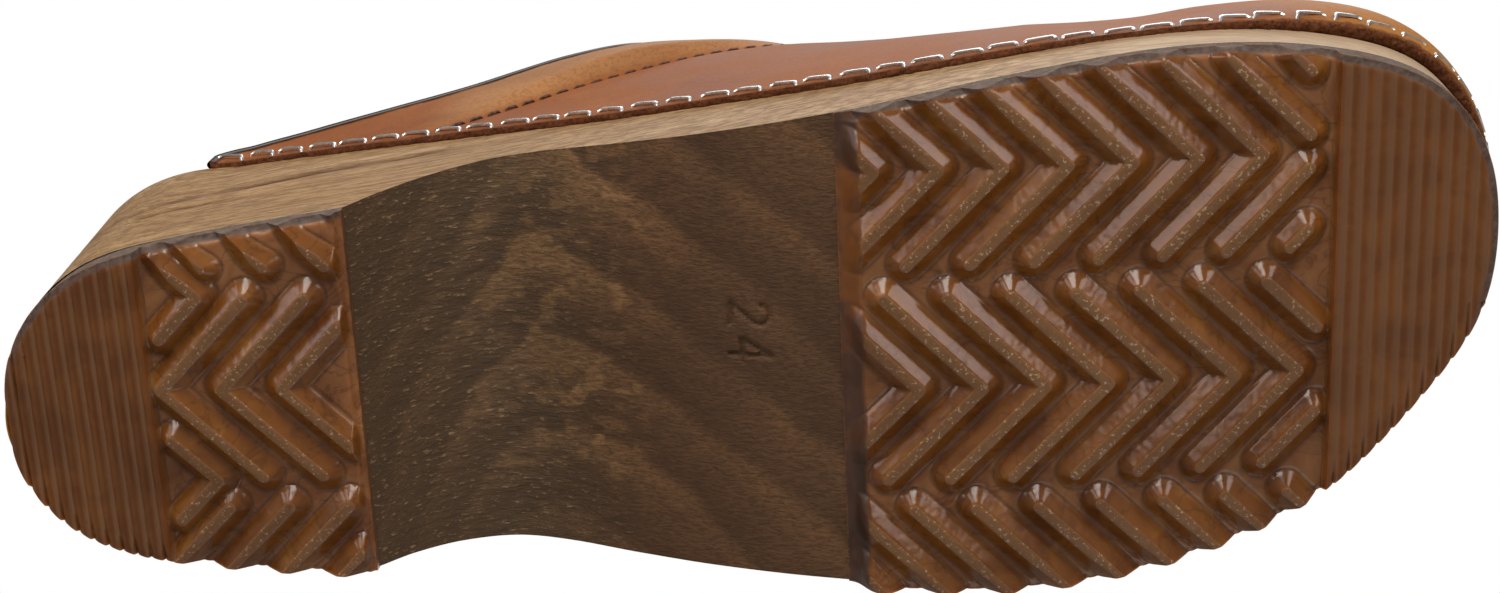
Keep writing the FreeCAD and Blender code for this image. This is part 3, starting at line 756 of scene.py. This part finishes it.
def build_pad(name, material, node, x0, x1, columns, rows, bars, rib_from, rib_sign):
    loop = outline()
    plan = ladder(loop, x0, x1, columns, rows)
    x, y = plan[..., 0], plan[..., 1]
    d = edge_distance(plan, loop)
    heel = rib_sign < 0
    taper = fade(1.0, 7.0, d) * np.where(y < 0.0, 1.3 if heel else 0.3, 0.25)
    relief = RIB_RELIEF * ((0.38 if heel else 0.22) + 0.85 * fade(0.3, 4.0, d) * (y > 0.0))
    share, bar, line, band, crease, rib_shade = tread_share(x, y, bars, rib_from, rib_sign, taper, relief)
    level = xyz(plan, 0.0)
    rag = noise(level, 1.6, 6.0) * 0.18
    bevel = fade(0.1, 1.7, d + rag) * (1.0 - bar) * (1.0 - 0.65 * band) * (0.35 + 0.65 * (y < 0.0))
    wobble = noise(level, 7.0, 12.0) * 0.06 + noise(level, 0.7, 3.0) * 0.02
    z = spring(x) + TREAD_HEIGHT * (1.0 - share) + bevel * 1.2 + wobble + crease * 0.22
    worn = fade(0.9, 1.3, d + bar * 0.75 + rag) * fade(-6.0, 10.0, y)
    back = np.abs(x - (x1 if heel else x0)) + noise(level, 6.0, 21.0) * 0.3
    skive = smooth(0.3, 1.4 if heel else 4.4, back)
    thin = 3.4 if heel else wood_underside(x) - 0.55
    z = z * skive + (1.0 - skive) * (thin + noise(level, 1.6, 22.0) * 0.12)
    skived = 0.0 if heel else fade(3.2, 4.6, back)
    z = np.maximum(z, 0.0)
    work = Patchwork()
    # The crease paint is painted shade at each bar's foot and across each rib; the rib line paint is a
    # painted highlight on the toe ribs.
    work.grid(xyz(plan, z), flip=True, tread=bar * skive, sanded=worn, ribline=line, ribs=band,
              skived=skived, crease=crease * skive + rib_shade)
    top = wood_underside(x)
    for row in (0, rows - 1):
        edge = between(xyz(plan[:, row], z[:, row]), xyz(plan[:, row], top[:, row]), 6)
        work.grid(edge, flip=row > 0, tread=0.3, sanded=1.0)
    cut = columns - 1 if heel else 0
    edge = between(xyz(plan[cut], z[cut]), xyz(plan[cut], top[cut]), 4)
    work.grid(edge, flip=cut == 0, tread=0.3, sanded=0.35)
    work.grid(xyz(plan, top)[::4, ::4], tread=0.0, sanded=0.0)
    piece(work.make(name, material), node)


# ---- upper
SHOULDER_STEPS = 4000


def section_angles(count):
    """Angles round the upper's section that give evenly spaced points."""
    fine = (1.0 - np.cos(np.linspace(0.0, math.pi, SHOULDER_STEPS))) * math.pi / 2.0
    across, up = squared_circle(fine, 2.0 / 2.7)
    along = lengths(np.stack([across * -42.0, up * 62.0], axis=1))
    return np.interp(np.linspace(0.0, along[-1], count), along, fine)


def upper_sides(inset):
    """The inner and outer half of the leather's outline, as lines whose x only grows."""
    loop = outline(LEATHER_PROUD - inset, HEEL_FLARE)
    return [(np.maximum.accumulate(half[:, 0] + np.arange(len(half)) * 1e-7), half[:, 1])
            for half in halves(loop)]


def upper_points(x, angle, inset=0.0):
    """Points of the upper: angle runs from 0 at the inner edge over the top to pi."""
    (xi, yi), (xo, yo) = upper_sides(inset)
    tip = min(xi[-1], xo[-1])
    x = np.minimum(x, tip - 0.02)
    low, high = np.interp(x, xi, yi), np.interp(x, xo, yo)
    base = ledge_at(x) - 0.3
    top = np.maximum(ridge_at(x + inset * smooth(100.0, 126.0, x)) - inset, base + 2.0)
    blend = np.clip((x - 60.0) / 66.0, 0.0, 1.0)
    ridge_y = RIDGE_Y + (TOE_Y - RIDGE_Y) * blend
    inward, up = squared_circle(angle, 2.0 / roundness_at(x))
    reach = np.where(inward > 0, ridge_y - low, high - ridge_y)
    return np.stack([x, ridge_y - inward * reach, base + (top - base) * up], axis=-1)


def crossing(angle, side_profile, low, high):
    """Where a side profile crosses the lines of the upper at these angles."""
    a, b = np.full(angle.shape, low), np.full(angle.shape, high)
    for _ in range(40):
        middle = (a + b) / 2.0
        above = upper_points(middle, angle)[..., 2] > side_profile(middle)
        a, b = np.where(above, middle, a), np.where(above, b, middle)
    return a


def grid_normals(points):
    du = np.gradient(points, axis=0)
    dv = np.gradient(points, axis=1)
    n = np.cross(du, dv)
    return n / np.maximum(np.linalg.norm(n, axis=-1), 1e-9)[..., None]


def toe_bulge(x, z):
    """How far the toe of the upper stands out beyond its even section."""
    over = np.clip((z - ledge_at(x) + 1.0) / 14.0, 0.0, 1.0)
    return bulge_at(x) * np.sqrt(over * (2.0 - over))


def leather_face(x, a):
    """The leather's outside over x and angle, the way it faces, and its heights over ledge and seam."""
    even = upper_points(x, a)
    normal = grid_normals(even)
    if normal[x.shape[0] // 2, x.shape[1] // 2, 2] < 0:
        normal = -normal
    rise = even[..., 2] - ledge_at(x)
    above = (even[..., 2] - seam_at(x)) * 0.8
    groove = np.exp(-(above / 0.8) ** 2) * (x < 34.0)
    ripple = (noise(even, 26.0, 2.0) * 0.35 + noise(even, 9.0, 4.0) * 0.1) * smooth(2.0, 12.0, rise)
    puff = puff_at(x) * smooth(0.3, 4.5, above) * (x < 30.0)
    out = ripple - 0.25 * groove + puff + toe_bulge(x, even[..., 2])
    return even + normal * out[..., None], normal, rise, above


def from_edge(points, edge):
    """How far each point of a grid lies from the line along the grid's first column."""
    along = unit(np.gradient(edge, axis=0))
    return np.linalg.norm(np.cross(points - edge[:, None], along[:, None, :]), axis=-1)


def build_vamp(material):
    around, along = 330, 420
    angle = section_angles(around)
    start = crossing(angle, topline_at, VAMP_TIP, 30.0)
    quarter = np.sin(np.linspace(0.0, math.pi / 2.0, along))
    share = np.concatenate([np.linspace(0.0, RIM_SHARE, 18)[:-1], RIM_SHARE + (1.0 - RIM_SHARE) * quarter])
    x = start[:, None] + (TOE_TIP - start)[:, None] * share[None, :]
    outside, normal, rise, above = leather_face(x, np.broadcast_to(angle[:, None], x.shape))
    work = Patchwork()
    toe = smooth(78.0, 118.0, x + noise(outside, 14.0, 7.0) * 9.0)
    lower = fade(0.3, 0.9, rise + noise(outside, 1.2, 8.0) * 0.5) * 0.8
    from_top = from_edge(outside, outside[:, 0])
    burnish = fade(1.2, 1.6, from_top + noise(outside, 2.0, 14.0) * 0.2)
    outside = outside + normal * (RIM_FLARE * fade(0.1, 1.9, from_top))[..., None]
    shine = np.exp(-((from_top - 0.75) / 0.16) ** 2) * 0.8
    collar = smooth(0.2, 2.5, above) * smooth(-64.0, -50.0, x) * fade(32.0, 36.0, x)
    work.grid(outside, toe=toe, raw=lower, collar=collar, burnish=burnish, shine=shine)

    inner = outside - normal * LEATHER
    inner[..., 2] = np.maximum(inner[..., 2], (ledge_at(x) + 0.3))
    work.grid(inner, flip=True, toe=0.0, raw=0.6)
    for row in (0, around - 1):
        strip = between(outside[row], inner[row], 7, axis=0)
        bow = np.sin(np.linspace(0.0, math.pi, 7))[:, None]
        strip[..., 2] -= (0.35 + 0.45 * noise(strip, 0.7, 9.0)) * bow
        work.grid(strip, flip=row == 0, toe=0.0, raw=1.0)
    swell = np.sin(np.linspace(0.0, math.pi, 6))[None, :, None]
    back = unit(outside[:, 0] - outside[:, 2])
    work.grid(between(outside[:, 0], inner[:, 0], 6) + back[:, None, :] * swell * 0.8, toe=0.0, raw=0.9)
    foot = (outside[0, -1] + outside[-1, -1]) / 2.0
    work.grid(between(outside[:, -1], foot, 12), toe=1.0, raw=0.0)
    piece(work.make("vamp_leather", material, sharp=55.0), "vamp")


def build_inner_layer(name, node, material, angle, x, thick):
    """A thin layer glued to the inside of the vamp over a grid of x and angle."""
    face, normal = leather_face(x, np.broadcast_to(angle[:, None], x.shape))[:2]
    outer, inner = face - normal * (LEATHER + 0.02), face - normal * (LEATHER + thick)
    for layer in (outer, inner):
        layer[..., 2] = np.maximum(layer[..., 2], rim_at(x) + 0.7)
    work = Patchwork()
    work.grid(outer)
    work.grid(inner, flip=True)
    for end in (0, -1):
        work.grid(between(outer[end], inner[end], 4, axis=0), flip=end == 0)
    for end in (0, -1):
        work.grid(between(outer[:, end], inner[:, end], 4))
    piece(work.make(name, material, sharp=55.0), node)


def build_inner_layers(material):
    angle = section_angles(200)
    start = crossing(angle, topline_at, VAMP_TIP, 30.0) + 0.3
    seam = crossing(angle, lambda v: seam_at(v) - 2.5, COLLAR_SEAM[0][0], COLLAR_SEAM[-1][0])
    share = np.linspace(0.0, 1.0, 120)[None, :]
    build_inner_layer("collar_lining_leather", "collar_lining", material, angle,
                      start[:, None] + np.maximum(seam - start, 0.5)[:, None] * share, COLLAR_LINING)
    end = np.full(len(angle), TOE_TIP - 4.0)
    build_inner_layer("toe_puff_board", "toe_puff", material, angle,
                      90.0 + (end[:, None] - 90.0) * share, TOE_PUFF)


def surface_normal(x, angle, inset=0.0):
    ahead = upper_points(x + 0.4, angle, inset) - upper_points(x - 0.4, angle, inset)
    around = upper_points(x, angle + 0.01, inset) - upper_points(x, angle - 0.01, inset)
    return unit(np.cross(around, ahead))


def tube(work, loops):
    """A tube through the loops, closed at both ends."""
    work.grid(loops.transpose(1, 0, 2), closed=True)
    for row in (0, -1):
        cap = np.stack([loops[row], np.broadcast_to(loops[row].mean(axis=0), loops[row].shape)], axis=0)
        work.grid(cap.transpose(1, 0, 2), closed=True, flip=row == 0)


def stitch(work, start, end, away):
    """One stitch: a short rope of thread whose ends dive into the leather; away points out of it."""
    along, length, radius = unit(end - start), np.linalg.norm(end - start), THREAD / 2.0
    side = np.cross(away, along)
    t = np.linspace(0.0, 1.0, 13)
    dive = np.abs(t * 2.0 - 1.0) ** 6
    centre = start + along * (t * length)[:, None] + away * (0.02 - dive * radius * 2.2)[:, None]
    turn = np.linspace(0.0, 2.0 * math.pi, 11)[:-1]
    twist = 1.0 + 0.12 * np.sin(turn[None, :] * 2.0 + t[:, None] * length * 5.0)
    reach = (radius * (1.0 - 0.35 * dive))[:, None] * twist
    tube(work, centre[:, None, :] + side * (np.cos(turn) * reach)[..., None] * 1.25
         + away * (np.sin(turn) * reach)[..., None])


STITCH_PITCH = 3.6
STITCH_LENGTH = 2.75
THREAD = 0.52


def build_seams(material):
    angle = (1.0 - np.cos(np.linspace(0.02, math.pi - 0.02, 3000))) * math.pi / 2.0
    x = crossing(angle, seam_at, COLLAR_SEAM[0][0], COLLAR_SEAM[-1][0])
    for name, node, inset, side in (("needle_stitches", "seam_needle_thread", 0.0, 1.0),
                                    ("bobbin_stitches", "seam_bobbin_thread", LEATHER + COLLAR_LINING, -1.0)):
        work = Patchwork()
        points = upper_points(x, angle, inset)
        normal = surface_normal(x, angle, inset) * side
        keep = points[:, 2] > ledge_at(points[:, 0]) + (2.6 if side > 0 else 8.0)
        points, normal = points[keep], normal[keep]
        if normal[len(normal) // 2, 2] * side < 0:
            normal = -normal
        along = lengths(points)
        for k in range(int(along[-1] / STITCH_PITCH)):
            at = k * STITCH_PITCH + 0.4
            start, end = at_length(points, along, np.array([at, at + STITCH_LENGTH]))
            stitch(work, start, end, unit(at_length(normal, along, at + STITCH_LENGTH / 2.0)))
        piece(work.make(name, material), node)


STAPLE_PITCH = 6.3
STAPLE_RISE = 2.3
STAPLE_WIRE = (0.4, 0.26)    # the flattened wire's half width and half height


def build_staples(material):
    """Crowned staples along the cut edge, their legs bent in through leather and wood."""
    plan = outline(LEATHER_PROUD, HEEL_FLARE)
    heel = int(np.argmin(np.hypot(plan[:, 0] - VAMP_TIP, plan[:, 1] + 20.0)))
    ring = np.roll(plan, -heel, axis=0)
    distance = lengths(ring)
    rng = np.random.default_rng(38)
    groups = {name: Patchwork() for name in ("medial_staples", "toe_staples", "lateral_staples")}
    for k in range(int(distance[-1] / STAPLE_PITCH)):
        at = (k + 0.6) * STAPLE_PITCH + rng.uniform(-0.35, 0.35)
        x, y = at_length(ring, distance, at)
        if x < VAMP_TIP + 3.0:
            continue
        ahead = at_length(ring, distance, at + 1.0) - at_length(ring, distance, at - 1.0)
        rise = float(ledge_at(x + ahead[0] / 2.0) - ledge_at(x - ahead[0] / 2.0))
        along = unit(np.array([ahead[0], ahead[1], rise * 2.0]))
        out = unit(np.array([ahead[1], -ahead[0], 0.0]))
        up = np.cross(out, along)
        up = up if up[2] > 0 else -up
        tilt = rng.uniform(-0.1, 0.1)
        along, up = along * math.cos(tilt) + up * math.sin(tilt), up * math.cos(tilt) - along * math.sin(tilt)
        centre = np.array([x, y, float(ledge_at(x)) + STAPLE_RISE + rng.uniform(-0.25, 0.25)])
        sunk = 0.05 + 0.5 * float(smooth(102.0, 110.0, x))
        centre = centre + out * (float(toe_bulge(x, centre[2])) - sunk)
        half = 2.2 + rng.uniform(-0.12, 0.12)
        path = [(-half - 0.62, -0.95, -2.2), (-half - 0.56, -0.85, -0.5), (-half - 0.42, -0.62, 0.14),
                (-half - 0.16, -0.2, 0.36), (-half + 0.22, -0.02, 0.42), (-half * 0.4, 0.03, 0.44)]
        path = path + [(-a, b, c) for a, b, c in path[::-1]]
        path = np.array([centre + along * a + up * b + out * c for a, b, c in path])
        side = "medial_staples" if y < 0 else "lateral_staples"
        wire(groups["toe_staples" if x > 92.0 else side], path, up)
    for name, work in groups.items():
        piece(work.make(name + "_wire", material, sharp=30.0), name)


def wire(work, path, wide):
    """A flattened wire swept along a path, its width in the direction wide."""
    turn = np.linspace(0.0, 2.0 * math.pi, 13)[:-1]
    a, b = squared_circle(turn, 0.6)
    tangent = unit(np.gradient(path, axis=0))
    side = unit(wide - tangent * (tangent @ wide)[:, None])
    third = np.cross(side, tangent)
    tube(work, path[:, None, :] + side[:, None, :] * (a * STAPLE_WIRE[0])[:, None]
         + third[:, None, :] * (b * STAPLE_WIRE[1])[:, None])


# ---- setting: floor, light, camera
CAMERA_PLACE = (32.4, -133.9, -365.5)
CAMERA_TURN = (160.885, -3.737, 2.539)
LENS = 56.4
ROOM_LIGHT = 0.22
FLOOR_HALF = 1.4              # half the paper's width, in metres


def build_camera():
    data = bpy.data.cameras.new("camera")
    camera = placed("camera", data)
    camera.location = Vector(CAMERA_PLACE) * MM
    camera.rotation_euler = Euler([math.radians(v) for v in CAMERA_TURN])
    data.lens, data.sensor_width, data.clip_start = LENS, 36.0, 0.01
    bpy.context.scene.camera = camera


def area_light(name, direction, distance, size, radiance, colour=(1.0, 1.0, 1.0)):
    """A square softbox in a direction from the clog's middle, facing it; radiance is its brightness."""
    data = bpy.data.lights.new(name, "AREA")
    data.shape, data.size, data.color = "SQUARE", size, colour
    data.energy = radiance * math.pi * size * size
    light = placed(name, data)
    away = Vector(direction).normalized()
    light.location = Vector((0.0, 0.0, 0.02)) + away * distance
    light.rotation_euler = away.to_track_quat("Z", "Y").to_euler()
    return light


def build_setting():
    world = bpy.data.worlds.new("studio")
    bpy.context.scene.world = world
    world.use_nodes = True
    tree = world.node_tree
    background = tree.nodes["Background"]
    background.inputs["Color"].default_value = (1.0, 1.0, 1.0, 1.0)
    dim = tree.nodes.new("ShaderNodeBackground")
    dim.inputs["Color"].default_value = (1.0, 0.97, 0.94, 1.0)
    dim.inputs["Strength"].default_value = ROOM_LIGHT
    seen = tree.nodes.new("ShaderNodeLightPath")
    mixed = tree.nodes.new("ShaderNodeMixShader")
    tree.links.new(seen.outputs["Is Camera Ray"], mixed.inputs[0])
    tree.links.new(dim.outputs[0], mixed.inputs[1])
    tree.links.new(background.outputs[0], mixed.inputs[2])
    tree.links.new(mixed.outputs[0], tree.nodes["World Output"].inputs["Surface"])
    area_light("softbox_toe", (0.79, -0.54, -0.28), 0.9, 0.34, 3.6, (1.0, 0.9, 0.88))
    area_light("softbox_heel", (-0.87, -0.47, -0.18), 0.9, 0.34, 2.6, (1.0, 0.88, 0.9))
    area_light("softbox_inner_side", (-0.08, -0.94, -0.33), 0.9, 0.5, 7.4, (1.0, 0.96, 0.9))
    glint = area_light("softbox_glint", (-0.55, -0.67, -0.5), 0.9, 0.24, 3.2, (1.0, 0.87, 0.85))
    glint.visible_diffuse = False
    area_light("softbox_above", (0.1, -0.4, 0.9), 1.1, 0.7, 2.5)
    area_light("softbox_outer_side", (0.1, 0.6, 0.8), 1.1, 0.6, 1.6)
    area_light("softbox_fill", (0.3, 0.78, -0.55), 1.0, 0.6, 0.9, (1.0, 0.95, 0.88))

    bpy.context.scene.view_settings.view_transform = "Standard"
    mesh = bpy.data.meshes.new("studio_floor")
    corners = [(x * FLOOR_HALF, y * FLOOR_HALF, 0.0) for x, y in ((-1, -1), (1, -1), (1, 1), (-1, 1))]
    mesh.from_pydata(corners, [], [(0, 1, 2, 3)])
    mesh.materials.append(floor_material())
    ground = placed("studio_floor", mesh)
    for ray in ("visible_diffuse", "visible_glossy", "visible_transmission", "visible_shadow"):
        setattr(ground, ray, False)


def floor_material():
    """Pale paper from above; nothing at all from below."""
    n = Nodes("studio_paper")
    n.colour = n.ramp(n.noise(8.0, 2.0), (0.0, (0.86, 0.86, 0.86)), (1.0, (0.9, 0.9, 0.9)))
    n.finish(Roughness=0.9)
    clear = n.node("BsdfTransparent", "BSDF")
    behind = n.node("NewGeometry", "Backfacing")
    mixed = n.node("MixShader", inputs={0: behind, 1: n.shader.outputs["BSDF"], 2: clear})
    output = [node for node in n.tree.nodes if node.type == "OUTPUT_MATERIAL"][0]
    n.tree.links.new(mixed, output.inputs["Surface"])
    return n.material


def main():
    build_camera()
    build_setting()
    build_sole(wood_material(), stained_wood_material())
    rubber = rubber_material()
    build_pad("heel_pad_rubber", rubber, "heel_tread_pad", -WIDE, HEEL_PAD_FRONT, 380, 210,
              heel_bars(), HEEL_RIBS_END, -1)
    build_pad("forefoot_pad_rubber", rubber, "forefoot_tread_pad", FOREFOOT_PAD_BACK, WIDE, 640, 300,
              forefoot_bars(), TOE_RIBS_START, 1)
    build_vamp(leather_material())
    build_seams(thread_material())
    build_staples(steel_material())
    build_inner_layers(lining_material())


main()
